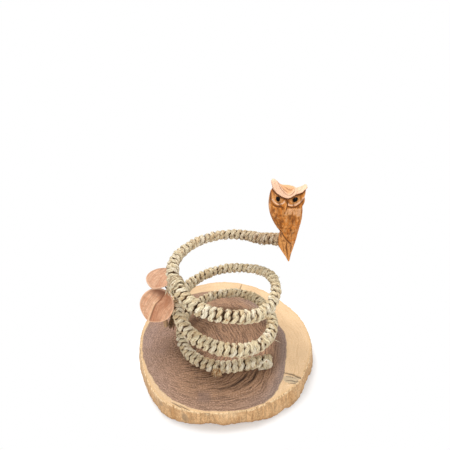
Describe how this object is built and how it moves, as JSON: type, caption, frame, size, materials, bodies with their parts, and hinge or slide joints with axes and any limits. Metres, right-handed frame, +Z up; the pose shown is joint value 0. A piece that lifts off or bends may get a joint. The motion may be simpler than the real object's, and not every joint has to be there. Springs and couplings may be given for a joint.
{
  "type": "wine bottle holder",
  "caption": "Slice of log carrying a stiff rope-bound wire coil that a bottle stands in, with a carved owl on the coil's upper end and carved leaves at its side.",
  "frame": {"origin": "on the underside of the log slice, under the axis of the coil's well", "axes": "+Z up along the well; the pictured front faces -Y, and +X is to its right, towards the owl"},
  "size_m": [0.2051, 0.2013, 0.2099],
  "materials": {
    "log_slice": "sawn and sanded end grain, pale sapwood ring round grey-brown heartwood",
    "steel_wire": "plain drawn wire",
    "straw_rope": "dry twisted plant fibre, matt",
    "carved_wood": "hand carved, oiled, satin",
    "eye_bead": "polished black",
    "leaf_wood": "thin carved wood, satin",
    "twig_wood": "peeled twig, matt",
    "dark_thread": "rough dark binding fibre"
  },
  "bodies": {
    "root": {"base_slab": "log_slice", "core_wire": "steel_wire", "rope_tail": "straw_rope", "rope_foot_turn": "straw_rope", "rope_first_rise": "straw_rope", "rope_lower_turn": "straw_rope", "rope_second_rise": "straw_rope", "rope_upper_front": "straw_rope", "rope_top_turn": "straw_rope", "staple_1": "steel_wire", "staple_2": "steel_wire", "owl_body": "carved_wood", "owl_eye_left": "eye_bead", "owl_eye_right": "eye_bead", "leaf_lower": "leaf_wood", "leaf_upper": "leaf_wood", "leaf_stalk": "steel_wire", "leaf_band": "straw_rope", "twig": "twig_wood", "twig_lashing": "dark_thread"}
  },
  "joints": []
}
